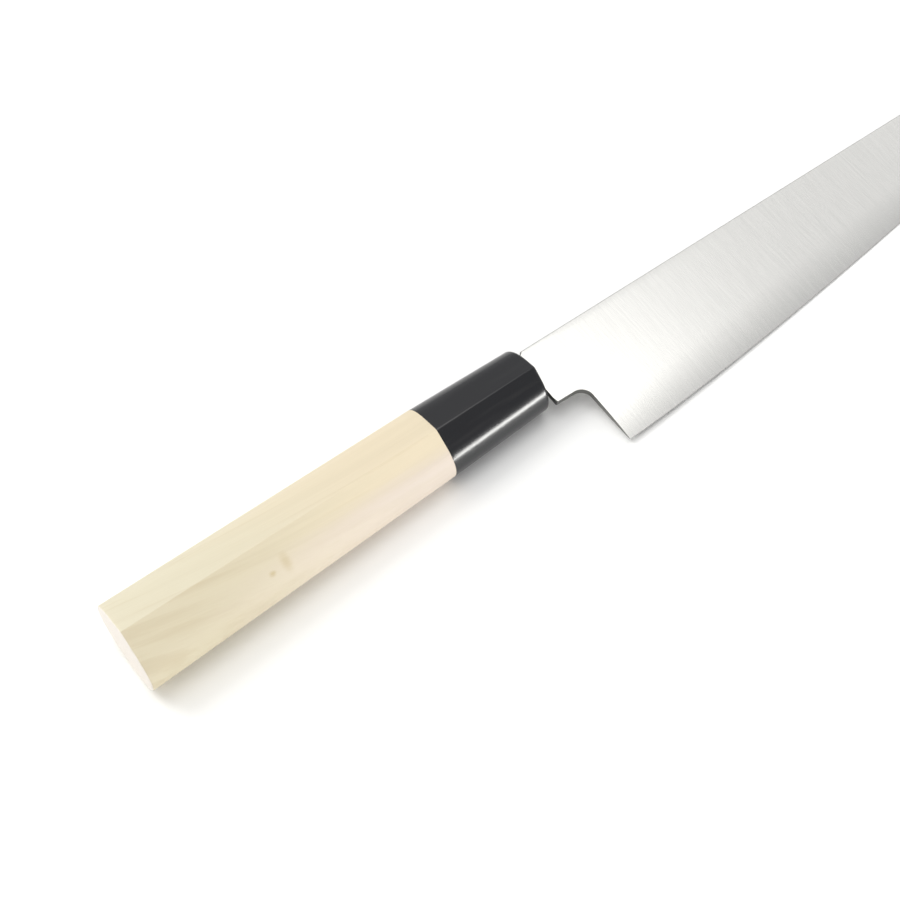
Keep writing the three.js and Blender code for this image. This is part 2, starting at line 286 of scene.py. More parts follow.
class BladeSettings(bpy.types.PropertyGroup):
    """Sizes of the blade, its neck and its tang."""

    shoulder_gap: length("Shoulder Gap", 0.0021, "From the ferrule's mouth to the lower shoulder")
    shoulder_slant: length("Shoulder Slant", 0.0016, "How much further forward the upper shoulder is")
    neck_height: length("Neck Height", 0.0196, "Height of the neck at its shoulders")
    neck_drop: length("Neck Drop", 0.0002, "Fall of the neck's underside towards the choil")
    choil_radius: length("Choil Radius", 0.004, "Radius between the neck and the heel")
    spine_fall_length: length("Spine Fall Length", 0.122, "Length over which the spine falls to the tip")
    tip_land: length("Tip Land", 0.0005, "Height left at the very tip")
    edge_heel_run: length("Edge Heel Run", 0.06, "Pull of the edge's curve at the heel")
    edge_heel_rise: length("Edge Heel Rise", 0.001, "Rise of that pull")
    edge_tip_run: length("Edge Tip Run", 0.068, "Pull of the edge's curve at the tip")
    edge_tip_rise: length("Edge Tip Rise", 0.0175, "Fall of that pull below the tip")
    spine_thickness: length("Spine Thickness", 0.0023, "Thickness of the spine at the heel")
    tip_thickness: length("Tip Thickness", 0.001, "Thickness of the spine at the tip")
    face_taper: length("Face Taper", 0.00016, "How much each face falls in from spine to heel")
    spine_softening: length("Spine Softening", 0.0003, "Rounding of the spine's edges")
    wall_softening: length("Wall Softening", 0.00015, "Rounding of the edges of neck, choil and heel")
    grind_height: length("Grind Height", 0.0145, "Height of the convex grind at the heel")
    bevel_height: length("Edge Bevel Height", 0.00014, "Height of the small bevel at the edge")
    bevel_thickness: length("Edge Bevel Thickness", 0.00022, "Thickness at the top of that bevel")
    edge_land: length("Edge Land", 0.00004, "Thickness of the edge itself")
    heel_fan: length("Heel Fan", 0.01, "How far the rows lean forward at the heel, to turn round it")
    heel_fan_length: length("Heel Fan Length", 0.04, "Length over which the rows stand up again")
    stations: count("Stations", 260, "Steps along the cutting edge")
    wall_steps: count("Wall Steps", 16, "Steps along the heel, round the choil and along the neck each")
    tang_steps: count("Tang Steps", 10, "Steps along the tang")
    face_rows: count("Face Rows", 12, "Steps down the flat of the face")
    grind_rows: count("Grind Rows", 20, "Steps down the grind")
    softening_steps: count("Softening Steps", 12, "Steps in the spine's rounded edges")
    bevel_rows: count("Bevel Rows", 3, "Steps down the edge bevel")


class FinishSettings(bpy.types.PropertyGroup):
    """Colours of the knife's materials."""

    steel: colour("Steel", (0.765, 0.76, 0.735), "Satin stainless steel")
    # Mostly painted shade: the narrow walls are made this dark to stand in for the shaded floor that they
    # reflect.
    steel_wall: colour("Steel Wall", (0.19, 0.19, 0.18), "Duller steel of spine, neck and heel walls")
    horn: colour("Horn", (0.0085, 0.0088, 0.0105), "Polished black horn")
    horn_streak: colour("Horn Streak", (0.016, 0.016, 0.017), "Paler streaks in the horn")
    wood: colour("Wood", (0.71, 0.655, 0.495), "Pale magnolia")
    wood_warm: colour("Wood Warm", (0.75, 0.65, 0.475), "Warmer magnolia towards the ferrule")
    # Partly painted shade: used below the ridge for the facet that the light reaches less, and also as the
    # wood's own deeper streaks.
    wood_deep: colour("Wood Deep", (0.57, 0.49, 0.335), "Deeper, greener magnolia below the ridge")
    # Painted light: the paler lower front stands in for the light of a near lamp in front.
    wood_pale: colour("Wood Pale", (0.716, 0.624, 0.538), "Paler, pinker magnolia towards the front")
    # Partly painted light: the end face is made paler for the light it catches from the left, besides its
    # sanded end grain.
    wood_end: colour("Wood End", (0.86, 0.80, 0.74), "Sanded end grain at the butt")
    wood_grain: colour("Wood Grain", (0.56, 0.46, 0.27), "Growth lines and pores")
    wood_knot: colour("Wood Knot", (0.50, 0.39, 0.17), "Pin knots")
    resin: colour("Resin", (0.58, 0.40, 0.15), "Bedding round the tang")
    sealant: colour("Sealant", (0.03, 0.027, 0.024), "Filler in the ferrule's mouth")


class StageSettings(bpy.types.PropertyGroup):
    """Camera, floor and lights."""

    camera_aim: place("Camera Aim", (-0.10091, 0.01003, 0.0), "Point on the floor at the picture's middle")
    camera_distance: length("Camera Distance", 0.46982, "From the aim to the camera")
    camera_azimuth: angle("Camera Azimuth", 32.738, "Turn of the view from +Y towards +X")
    camera_elevation: angle("Camera Elevation", 54.873, "How steeply the view looks down")
    camera_roll: angle("Camera Roll", -5.751, "Tilt of the picture")
    camera_lens: number("Camera Lens", 64.0, "Focal length in millimetres on a 36 mm sensor")
    floor_size: length("Floor Size", 12.0, "Side of the square floor")
    floor: colour("Floor", (0.97, 0.97, 0.96), "Pale floor")
    room: colour("Room", (0.945, 0.945, 0.95), "Light from overhead")
    room_low: colour("Room Low", (0.58, 0.585, 0.60), "Light from the room's sides")
    room_shade: colour("Room Shade", (0.35, 0.35, 0.36), "Light from the room's darker parts")
    lamp: colour("Lamp", (1.0, 0.995, 0.97), "Colour of the lamps")


def part_way(start, end, share):
    """A value part of the way from start to end."""
    return start + (end - start) * share


def shaded(tone, share):
    """A colour made darker or lighter by a share."""
    return [channel * share for channel in tone]


def opaque(tone):
    """A plain colour with full alpha; a socket stays as it is."""
    return tone if isinstance(tone, bpy.types.NodeSocket) else (*tone[:3], 1.0)


class Wiring:
    """A node tree being wired up: adds nodes, and fills or links their inputs by name or place."""

    def __init__(self, tree):
        self.tree = tree

    def fill(self, socket, value):
        """Links an input to another socket, or gives it a plain value."""
        if isinstance(value, bpy.types.NodeSocket):
            self.tree.links.new(value, socket)
        else:
            socket.default_value = value

    def add(self, kind, values=None, **options):
        """Adds a node of a kind with these options and input values."""
        node = self.tree.nodes.new(kind)
        for name, option in options.items():
            setattr(node, name, option)
        for key, value in (values or {}).items():
            self.fill(node.inputs[key], value)
        return node

    def math(self, operation, *values):
        """Works out one number."""
        return self.add("ShaderNodeMath", dict(enumerate(values)), operation=operation).outputs[0]

    def vector(self, operation, *values):
        """Works out one vector."""
        return self.add("ShaderNodeVectorMath", dict(enumerate(values)), operation=operation).outputs[0]

    def measure(self, operation, first, second):
        """Works out one number from two vectors."""
        node = self.add("ShaderNodeVectorMath", {0: first, 1: second}, operation=operation)
        return node.outputs["Value"]

    def split(self, vector):
        """A vector's parts, by X, Y and Z."""
        return self.add("ShaderNodeSeparateXYZ", {0: vector}).outputs

    def join(self, x, y, z):
        """A vector from its parts."""
        return self.add("ShaderNodeCombineXYZ", {"X": x, "Y": y, "Z": z}).outputs[0]

    def ramp(self, value, low, high, to_low=0.0, to_high=1.0, smooth=False):
        """Moves a value from one range to another, and keeps it inside."""
        kind = "SMOOTHSTEP" if smooth else "LINEAR"
        values = {"Value": value, "From Min": low, "From Max": high, "To Min": to_low, "To Max": to_high}
        return self.add("ShaderNodeMapRange", values, interpolation_type=kind).outputs["Result"]

    def fade(self, value, low, high, smooth=True):
        """Falls from 1 to 0 as a value goes from low to high."""
        return self.ramp(value, low, high, 1.0, 0.0, smooth)

    def between(self, start, end, share):
        """A number part of the way from start to end."""
        return self.math("MULTIPLY_ADD", share, self.math("SUBTRACT", end, start), start)

    def shifted(self, value, mask, by):
        """A number moved by an amount times a mask."""
        return self.math("MULTIPLY_ADD", mask, by, value)

    def tint(self, share, start, end):
        """A colour part of the way from start to end."""
        node = self.add("ShaderNodeMix", data_type="RGBA")
        ends = {"Factor_Float": share, "A_Color": opaque(start), "B_Color": opaque(end)}
        for socket in node.inputs:
            if socket.identifier in ends:
                self.fill(socket, ends[socket.identifier])
        return next(socket for socket in node.outputs if socket.identifier == "Result_Color")

    def mark(self, tone, end, mask, strength):
        """A tone moved towards an end colour where a mask says, up to a strength."""
        return self.tint(self.math("MULTIPLY", mask, strength), tone, end)


class GroupWiring(Wiring):
    """A node group being wired up, with named sockets."""

    def __init__(self, name, kind, inputs, outputs):
        super().__init__(bpy.data.node_groups.new(name, kind))
        for socket_name, socket_kind in inputs.items():
            self.tree.interface.new_socket(socket_name, in_out="INPUT", socket_type=socket_kind)
        for socket_name, socket_kind in outputs.items():
            self.tree.interface.new_socket(socket_name, in_out="OUTPUT", socket_type=socket_kind)
        self.given = self.add("NodeGroupInput").outputs

    def own_point(self):
        """The parts of each point's own place in a geometry."""
        return self.split(self.add("GeometryNodeInputPosition").outputs[0])

    def lay(self, geometry, x, y, z):
        """Moves each point of a geometry to its own X, Y and Z."""
        spot = self.join(x, y, z)
        return self.add("GeometryNodeSetPosition", {"Geometry": geometry, "Position": spot}).outputs[0]

    def close(self, **results):
        """Links the results to the group's outputs."""
        self.add("NodeGroupOutput", results)
        return self.tree


SECTION_SOCKETS = [f"{end} {in_words(key)}" for end in ("Start", "End") for key in SECTION_NOTES]
HOLLOW_SOCKETS = ["From", "To", "From Half Width", "To Half Width", "Half Depth", "Level"]
ROUND_SOCKETS = ["Round Radius", "Round From", "Round To"]


def sleeve_group():
    """Geometry group: a closed length of handle, oval with one eased ridge, with both end edges rounded."""
    sizes = [
        "Start", "End", "End Bow", "Start Rounding", "End Rounding",
        "Start Ridge Softness", "End Ridge Softness", *SECTION_SOCKETS]
    counts = ["Sides", "Rows", "Rounding Steps"]
    inputs = {name: "NodeSocketFloat" for name in sizes} | {name: "NodeSocketInt" for name in counts}
    wiring = GroupWiring("ridged_sleeve", "GeometryNodeTree", inputs, {"Mesh": "NodeSocketGeometry"})
    math_of, given = wiring.math, wiring.given

    # A flat grid is rolled up: each row becomes a ring, and the first and the last row close to a point.
    steps, rows = given["Rounding Steps"], given["Rows"]
    body_from = math_of("ADD", steps, 1.0)
    body_to = math_of("ADD", body_from, rows)
    last_ring = math_of("ADD", body_to, steps)
    last_row = math_of("ADD", last_ring, 1.0)
    grid = wiring.add("GeometryNodeMeshGrid", {
        "Size X": 1.0,
        "Size Y": 1.0,
        "Vertices X": math_of("ADD", given["Sides"], 1.0),
        "Vertices Y": math_of("ADD", last_row, 1.0),
    })
    spot = wiring.own_point()
    row = math_of("ROUND", math_of("MULTIPLY", math_of("ADD", spot["Y"], 0.5), last_row))
    opened = wiring.ramp(row, 0.0, 1.0)
    shown = math_of("MINIMUM", opened, wiring.ramp(row, last_ring, last_row, 1.0, 0.0))

    # How far along each ring lies, and how far the rounded edges draw it in.
    start_turn = wiring.ramp(row, 1.0, body_from, 0.0, math.pi / 2)
    body_share = wiring.ramp(row, body_from, body_to)
    end_turn = wiring.ramp(row, body_to, last_ring, math.pi / 2, 0.0)
    start_round, end_round = given["Start Rounding"], given["End Rounding"]
    whole = math_of("SUBTRACT", given["End"], given["Start"])
    straight = math_of("SUBTRACT", whole, math_of("ADD", start_round, end_round))
    along = math_of("MULTIPLY", start_round, math_of("SUBTRACT", 1.0, math_of("COSINE", start_turn)))
    along = math_of("MULTIPLY_ADD", straight, body_share, along)
    along = math_of("MULTIPLY_ADD", end_round, math_of("COSINE", end_turn), along)
    start_inset = math_of("SUBTRACT", 1.0, math_of("SINE", start_turn))
    end_inset = math_of("SUBTRACT", 1.0, math_of("SINE", end_turn))
    inset = math_of("MULTIPLY_ADD", end_round, end_inset, math_of("MULTIPLY", start_round, start_inset))
    share = math_of("DIVIDE", along, whole)

    # The section at each ring, and its ridge as a bearing and a reach on an oval of radius 1.
    half = len(SECTION_NOTES)
    back, height, half_thickness, ridge_drop, ridge_rise = (
        wiring.between(given[start], given[end], share)
        for start, end in zip(SECTION_SOCKETS[:half], SECTION_SOCKETS[half:]))
    half_height = math_of("DIVIDE", height, 2.0)
    middle = math_of("SUBTRACT", back, half_height)
    ridge_y = math_of("SUBTRACT", 1.0, math_of("DIVIDE", ridge_drop, half_height))
    oval_z = math_of("SQRT", math_of("SUBTRACT", 1.0, math_of("MULTIPLY", ridge_y, ridge_y)))
    ridge_z = math_of("ADD", oval_z, math_of("DIVIDE", ridge_rise, half_thickness))
    ridge_turn = math_of("ARCTAN2", ridge_z, ridge_y)
    ridge_square = math_of("MULTIPLY_ADD", ridge_y, ridge_y, math_of("MULTIPLY", ridge_z, ridge_z))
    flat_turn = math_of("ARCCOSINE", math_of("DIVIDE", 1.0, math_of("SQRT", ridge_square)))

    # Sides crowd towards the ridge, and its flats run from there to where they touch the oval.
    side = math_of("MULTIPLY", spot["X"], 2.0)
    turn = math_of("MULTIPLY", math_of("MULTIPLY", side, math_of("ABSOLUTE", side)), math.pi)
    softness = wiring.between(given["Start Ridge Softness"], given["End Ridge Softness"], share)
    eased = math_of("MULTIPLY_ADD", turn, turn, math_of("MULTIPLY", softness, softness))
    lean = math_of("MAXIMUM", math_of("SUBTRACT", flat_turn, math_of("SQRT", eased)), 0.0)
    reach = math_of("DIVIDE", shown, math_of("COSINE", lean))
    bearing = math_of("ADD", ridge_turn, turn)
    level = math_of("MULTIPLY", math_of("SUBTRACT", half_height, inset), math_of("COSINE", bearing))
    depth = math_of("MULTIPLY", math_of("SUBTRACT", half_thickness, inset), math_of("SINE", bearing))

    # The end's face bows out on the right, most at its rim.
    to_right = math_of("MAXIMUM", math_of("SINE", bearing), 0.0)
    bow = math_of("MULTIPLY", math_of("MULTIPLY", given["End Bow"], share), shown)
    bow = math_of("MULTIPLY", bow, math_of("MULTIPLY", to_right, to_right))
    rolled = wiring.lay(
        grid.outputs["Mesh"],
        math_of("ADD", math_of("ADD", given["Start"], along), bow),
        math_of("MULTIPLY_ADD", level, reach, middle),
        math_of("MULTIPLY", depth, reach))
    closed = wiring.add("GeometryNodeMergeByDistance", {"Geometry": rolled, "Distance": SAME_POINT})
    return wiring.close(Mesh=closed.outputs[0])


def hollow_group():
    """Geometry group: a flat bar along the knife that tapers from one half width to another."""
    inputs = {name: "NodeSocketFloat" for name in HOLLOW_SOCKETS}
    wiring = GroupWiring("tang_hollow", "GeometryNodeTree", inputs, {"Mesh": "NodeSocketGeometry"})
    given = wiring.given
    bar = wiring.add("GeometryNodeMeshCube", {"Size": (1.0, 2.0, 2.0)})
    spot = wiring.own_point()
    share = wiring.math("ADD", spot["X"], 0.5)
    width = wiring.between(given["From Half Width"], given["To Half Width"], share)
    tapered = wiring.lay(
        bar.outputs["Mesh"],
        wiring.between(given["From"], given["To"], share),
        wiring.math("MULTIPLY_ADD", spot["Y"], width, given["Level"]),
        wiring.math("MULTIPLY", spot["Z"], given["Half Depth"]))
    return wiring.close(Mesh=tapered)


def handle_tree():
    """Geometry tree: a sleeve of the handle, with a tenon added or bored, and the tang's hollow cut."""
    sleeve, hollow = sleeve_group(), hollow_group()
    sockets = [socket for socket in sleeve.interface.items_tree if socket.in_out == "INPUT"]
    inputs = {socket.name: socket.socket_type for socket in sockets}
    inputs |= {name: "NodeSocketFloat" for name in ROUND_SOCKETS}
    inputs |= {f"Hollow {name}": "NodeSocketFloat" for name in HOLLOW_SOCKETS}
    inputs |= {"Bored": "NodeSocketBool", "Material": "NodeSocketMaterial"}
    wiring = GroupWiring("handle_piece", "GeometryNodeTree", inputs, {"Geometry": "NodeSocketGeometry"})
    wiring.tree.is_modifier = True
    given = wiring.given

    outside = wiring.add("GeometryNodeGroup", node_tree=sleeve)
    cut = wiring.add("GeometryNodeGroup", node_tree=hollow)
    for socket in outside.inputs:
        wiring.fill(socket, given[socket.name])
    for socket in cut.inputs:
        wiring.fill(socket, given[f"Hollow {socket.name}"])
    sleeve_mesh = outside.outputs["Mesh"]
    ends = given["Round From"], given["Round To"]
    bar = wiring.add("GeometryNodeMeshCylinder", {
        "Vertices": TENON_SIDES,
        "Radius": given["Round Radius"],
        "Depth": wiring.math("SUBTRACT", ends[1], ends[0]),
    })
    middle = wiring.math("DIVIDE", wiring.math("ADD", *ends), 2.0)
    tenon = wiring.add("GeometryNodeTransform", {
        "Geometry": bar.outputs["Mesh"],
        "Translation": wiring.join(middle, given["Hollow Level"], 0.0),
        "Rotation": (0.0, math.pi / 2, 0.0),
    }).outputs[0]

    def carved(mesh, tool):
        """A mesh with a tool's shape cut out of it."""
        meshes = {"Mesh 1": mesh, "Mesh 2": tool}
        cutter = wiring.add("GeometryNodeMeshBoolean", meshes, operation="DIFFERENCE", solver="EXACT")
        return cutter.outputs["Mesh"]

    joined = wiring.add("GeometryNodeMeshBoolean", operation="UNION", solver="EXACT")
    for mesh in (sleeve_mesh, tenon):
        wiring.fill(joined.inputs["Mesh 2"], mesh)
    turned = wiring.add("GeometryNodeSwitch", {
        "Switch": given["Bored"],
        "False": joined.outputs["Mesh"],
        "True": carved(sleeve_mesh, tenon),
    }, input_type="GEOMETRY")
    slotted = carved(turned.outputs[0], cut.outputs["Mesh"])
    real = wiring.add("GeometryNodeRealizeInstances", {"Geometry": slotted}).outputs[0]
    made = wiring.add("GeometryNodeSetMaterial", {"Geometry": real, "Material": given["Material"]})
    return wiring.close(Geometry=made.outputs[0])


def section_values(end, section):
    """One end's section as values for the sleeve's sockets."""
    return {f"{end} {in_words(key)}": getattr(section, key) for key in SECTION_NOTES}


def handle_values(handle, material):
    """The values that the grip and the ferrule share."""
    return {
        "Sides": handle.sides,
        "Rows": handle.rows,
        "Rounding Steps": handle.rounding_steps,
        "Hollow Level": TANG_LEVEL,
        "Hollow Half Depth": -min(corner.z for corner in TANG_RING) + handle.slot_margin,
        "Material": material,
    }


def add_object(name, data):
    """A new object in the scene."""
    added = bpy.data.objects.new(name, data)
    bpy.context.scene.collection.objects.link(added)
    return added


def run_tree(name, tree, values):
    """Runs a geometry tree with these values and keeps its result as a plain mesh object."""
    piece = add_object(name, bpy.data.meshes.new(name))
    modifier = piece.modifiers.new(name, "NODES")
    modifier.node_group = tree
    for socket in tree.interface.items_tree:
        if socket.name in values:
            modifier[socket.identifier] = values[socket.name]
    seen = piece.evaluated_get(bpy.context.evaluated_depsgraph_get())
    mesh = bpy.data.meshes.new_from_object(seen)
    piece.modifiers.clear()
    piece.data = mesh
    return piece


def new_piece(name, points, faces, material):
    """A mesh object from points and faces."""
    mesh = bpy.data.meshes.new(name)
    mesh.from_pydata(points, [], faces)
    mesh.materials.append(material)
    return add_object(name, mesh)


def check_closed(piece):
    """Raises an error if a piece has no faces or an open edge."""
    edges = [edge for polygon in piece.data.polygons for edge in polygon.edge_keys]
    if not edges:
        raise RuntimeError(f"{piece.name} came out without faces")
    uses = np.unique(np.array(edges), axis=0, return_counts=True)[1]
    if uses.min() < 2:
        raise RuntimeError(f"{piece.name} came out with an open edge")


def hand_over(piece, node, sharp_degrees):
    """Lays a finished piece where the frame says, and lets it stand for its CAD node."""
    check_closed(piece)
    piece.data.transform(LAID)
    piece.data.shade_smooth()
    piece.data.set_sharp_from_angle(angle=math.radians(sharp_degrees))
    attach(piece, BODY)
    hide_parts(node)


class BladeShape:
    """The blade's outline and its thickness at any point, from the blade's settings."""

    def __init__(self, blade):
        self.blade = blade
        self.heel = Vector((HEEL.x, HEEL.y))
        self.run = TIP_X - self.heel.x
        self.height = SPINE_LEVEL - self.heel.y
        tip = Vector((TIP_X, TIP_LEVEL))
        curve = interpolate_bezier(
            self.heel,
            self.heel + Vector((blade.edge_heel_run, blade.edge_heel_rise)),
            tip - Vector((blade.edge_tip_run, blade.edge_tip_rise)),
            tip,
            blade.stations + 1)
        self.edge = [Vector(point[:2]) for point in curve]
        self.edge_x = [point.x for point in self.edge]
        self.edge_y = [point.y for point in self.edge]

    def spine_at(self, x):
        """Level of the spine."""
        share = max(0.0, 1 - (TIP_X - x) / self.blade.spine_fall_length)
        fall = SPINE_LEVEL - TIP_LEVEL - self.blade.tip_land
        return SPINE_LEVEL - fall * share ** 2

    def half_thickness(self, x, y):
        """Half the steel's thickness: flat face, convex grind, edge bevel."""
        blade = self.blade
        edge = float(np.interp(x, self.edge_x, self.edge_y))
        share = max(0.0, (x - self.heel.x) / self.run)
        at_spine = part_way(blade.spine_thickness, blade.tip_thickness, share) / 2
        slope = blade.face_taper / self.height

        def face(level):
            return at_spine - slope * (SPINE_LEVEL - level)

        bevel = self.bevel_at(x, edge)
        grind_top = edge + self.grind_at(x, edge)
        bevel_top = edge + bevel
        if y >= grind_top:
            return face(y)
        if y >= bevel_top:
            down = (grind_top - y) / (grind_top - bevel_top)
            return face(y) - (face(bevel_top) - blade.bevel_thickness / 2) * down ** 2
        return part_way(blade.edge_land, blade.bevel_thickness, max(0.0, y - edge) / bevel) / 2

    def bevel_at(self, x, edge):
        """Height of the edge bevel, which shrinks at the tip."""
        return min(self.blade.bevel_height, (self.spine_at(x) - edge) / 4)

    def grind_at(self, x, edge):
        """Height of the grind above the edge."""
        share = (self.spine_at(x) - edge) / self.height
        return max(self.blade.grind_height * share, 2 * self.bevel_at(x, edge))

    def column(self, top_x, foot, wall=False):
        """One column of points from the spine down to the foot, as (x, y, half thickness)."""
        blade = self.blade
        top = Vector((top_x, self.spine_at(top_x)))
        tall = top.y - foot.y
        softening = min(blade.spine_softening, tall / 4)
        points = []
        for step in range(blade.softening_steps):
            turn = math.pi / 2 * step / blade.softening_steps
            level = top.y - softening * (1 - math.cos(turn))
            inset = softening * (1 - math.sin(turn))
            points.append((top.x, level, self.half_thickness(top.x, level) - inset))
        if wall:
            grind_share = blade.grind_height / self.height
            bevel = blade.wall_softening
        else:
            grind_share = self.grind_at(foot.x, foot.y) / tall
            bevel = self.bevel_at(foot.x, foot.y)
        upper = Vector((top.x, top.y - softening))
        grind_foot = foot.lerp(top, grind_share)
        bevel_foot = foot.lerp(top, bevel / tall)
        stretches = (upper, grind_foot, blade.face_rows), (grind_foot, bevel_foot, blade.grind_rows)
        for start, end, rows in stretches:
            for row in range(rows):
                spot = start.lerp(end, row / rows)
                points.append((spot.x, spot.y, self.half_thickness(spot.x, spot.y)))
        for row in range(blade.bevel_rows + 1):
            share = row / blade.bevel_rows
            spot = bevel_foot.lerp(foot, share)
            half = self.half_thickness(spot.x, spot.y)
            if wall:
                half -= min(bevel, half / 2) * (1 - math.sqrt(1 - share ** 2))
            points.append((spot.x, spot.y, half))
        return points

    def wall_feet(self):
        """The outline behind the heel: up the heel's back, round the choil and along the neck."""
        blade, steps = self.blade, self.blade.wall_steps
        neck_level = SPINE_LEVEL - blade.neck_height
        radius = blade.choil_radius
        centre = Vector((self.heel.x - radius, neck_level - blade.neck_drop - radius))
        shoulder = Vector((MOUTH_X + blade.shoulder_gap, neck_level))
        turns = [math.pi / 2 * step / steps for step in range(steps + 1)]
        arc = [centre + radius * Vector((math.cos(turn), math.sin(turn))) for turn in turns]
        heel_back = [self.heel.lerp(arc[0], (step / steps) ** HEEL_CROWDING) for step in range(1, steps)]
        neck = [arc[-1].lerp(shoulder, step / steps) for step in range(1, steps + 1)]
        return heel_back + arc + neck

    def columns(self):
        """All columns from the tip back to the shoulders."""
        blade = self.blade
        columns = []
        for foot in reversed(self.edge):
            share = min(1.0, (foot.x - self.heel.x) / blade.heel_fan_length)
            columns.append(self.column(min(TIP_X, foot.x + blade.heel_fan * (1 - share) ** 2), foot))
        feet = self.wall_feet()
        heel_top_x = self.heel.x + blade.heel_fan
        shoulder_x = MOUTH_X + blade.shoulder_gap + blade.shoulder_slant
        for step, foot in enumerate(feet, start=1):
            columns.append(self.column(part_way(heel_top_x, shoulder_x, step / len(feet)), foot, True))
        return columns


def tang_columns(shape, column, upper, lower):
    """The shoulders' column, and the tang's columns to its end with that column's rows upper to lower."""
    blade = shape.blade
    rows = lower - upper
    shoulder_x = MOUTH_X + blade.shoulder_gap
    upper_x = shoulder_x + blade.shoulder_slant, MOUTH_X + blade.shoulder_slant / 4
    wide, narrow = half_span(TANG_RING), half_span(TANG_END_RING)
    shoulders = []
    for row, (x, y, half) in enumerate(column):
        if row <= upper:
            share = row / upper
            x, y = part_way(*upper_x, share), part_way(SPINE_LEVEL, TANG_LEVEL + wide, share)
        elif row < lower:
            share = (row - upper) / rows
            x = shoulder_x + blade.shoulder_slant * (1 - share)
            y = TANG_LEVEL + wide * (1 - 2 * share)
        else:
            share = (row - lower) / (len(column) - 1 - lower)
            x, y = shoulder_x, part_way(TANG_LEVEL - wide, column[-1][1], share)
        shoulders.append((x, y, min(half, shape.half_thickness(x, y))))
    tang = []
    for step in range(blade.tang_steps + 1):
        share = step / blade.tang_steps
        x, width = part_way(TENON_FRONT_X, TANG_END_X, share), part_way(wide, narrow, share)
        levels = [TANG_LEVEL + width * (1 - 2 * row / rows) for row in range(rows + 1)]
        tang.append([(x, level, shape.half_thickness(x, level)) for level in levels])
    return shoulders, tang


def blade_mesh(blade):
    """Points and faces of the blade with its tang, as one closed body, and which faces are narrow walls."""
    shape = BladeShape(blade)
    columns = shape.columns()
    rows = len(columns[0])
    # The tang goes on from the middle half of the last column, between its shoulders.
    upper, lower = rows // 4, rows * 3 // 4
    last = len(columns) - 1
    columns[last], tang = tang_columns(shape, columns[last], upper, lower)
    columns += [[None] * upper + column + [None] * (rows - lower - 1) for column in tang]
    end = len(columns) - 1
    # Narrow walls take in most of the spine's rounding, and the softened edges behind the heel; the steel
    # material paints shade on them.
    spine_rows, wall_row = blade.softening_steps * 2 // 3, rows - 1 - blade.bevel_rows
    points, faces, narrow, index = [], [], [], {}

    def corner(column, row, side):
        """The number of a point, which is made the first time that a face asks for it."""
        key = (column, row, side)
        if key not in index:
            x, y, half = columns[column][row]
            index[key] = len(points)
            points.append((x, y, side * half))
        return index[key]

    def quad(column, row, side):
        """A face of one side from a column and a row to the next ones, turned outwards."""
        narrow.append(row < spine_rows or column >= blade.stations and row >= wall_row)
        spots = (column, row), (column + 1, row), (column + 1, row + 1), (column, row + 1)
        loop = [corner(*spot, side) for spot in spots]
        faces.append(loop if side > 0 else loop[::-1])

    def wall(a, b):
        """A face across the steel's thickness from one point of the outline to the next."""
        narrow.append(True)
        faces.append([corner(*a, 1), corner(*a, -1), corner(*b, -1), corner(*b, 1)])

    for column in range(end):
        first_row, last_row = (0, rows - 1) if column < last else (upper, lower)
        for row in range(first_row, last_row):
            for side in (1, -1):
                quad(column, row, side)
        wall((column, first_row), (column + 1, first_row))
        wall((column + 1, last_row), (column, last_row))
    for row in range(rows - 1):
        wall((0, row + 1), (0, row))
        if row < upper or row >= lower:
            wall((last, row), (last, row + 1))
    for row in range(upper, lower):
        wall((end, row), (end, row + 1))
    return points, faces, narrow


def seal_mesh(handle):
    """Points and faces of the seal: a sleeve round the tang whose front dips between horn and steel."""
    outer_width = half_span(TANG_RING) + handle.slot_margin
    tang_depth = max(corner.z for corner in TANG_RING)
    front, back = MOUTH_X - handle.joint_softening, MOUTH_X - handle.seal_depth
    profile = [(back, 0.0), (back, 1.0)]
    for step in range(SEAL_DIP_STEPS + 1):
        share = step / SEAL_DIP_STEPS
        profile.append((front - handle.seal_dip * math.sin(math.pi * share), 1 - share))
    points, faces = [], []
    signs = [(1, 1), (-1, 1), (-1, -1), (1, -1)]
    for x, share in profile:
        width = outer_width - handle.slot_margin * (1 - share)
        depth = tang_depth + handle.slot_margin * share
        points.extend((x, TANG_LEVEL + across * width, through * depth) for across, through in signs)
    rings, corners = len(profile), len(signs)
    for ring in range(rings):
        nearby, beyond = ring * corners, (ring + 1) % rings * corners
        for side in range(corners):
            next_side = (side + 1) % corners
            faces.append([nearby + side, nearby + next_side, beyond + next_side, beyond + side])
    return points, faces


def streak_group():
    """Shader group: soft streaks whose cell is given along X, Y and Z."""
    inputs = {"Vector": "NodeSocketVector", "Cell": "NodeSocketVector", "Seed": "NodeSocketFloat"}
    wiring = GroupWiring("streaks", "ShaderNodeTree", inputs, {"Value": "NodeSocketFloat"})
    given = wiring.given
    cells = wiring.vector("DIVIDE", given["Vector"], given["Cell"])
    values = {"Vector": cells, "W": given["Seed"], "Scale": 1.0, "Detail": 3.0, "Roughness": 0.55}
    noise = wiring.add("ShaderNodeTexNoise", values, noise_dimensions="4D")
    return wiring.close(Value=noise.outputs["Fac"])


def handling_group():
    """Shader group: how polish and handling change a surface's roughness from place to place."""
    inputs = {"Vector": "NodeSocketVector"} | {
        name: "NodeSocketFloat" for name in ("Patch", "Base", "Change")}
    wiring = GroupWiring("handling", "ShaderNodeTree", inputs, {"Roughness": "NodeSocketFloat"})
    given = wiring.given
    scale = wiring.math("DIVIDE", 1.0, given["Patch"])
    values = {"Vector": given["Vector"], "Scale": scale, "Detail": 4.0, "Roughness": 0.6}
    noise = wiring.add("ShaderNodeTexNoise", values)
    swing = wiring.math("MULTIPLY", wiring.math("SUBTRACT", noise.outputs["Fac"], 0.5), 2.0)
    return wiring.close(Roughness=wiring.math("MULTIPLY_ADD", swing, given["Change"], given["Base"]))


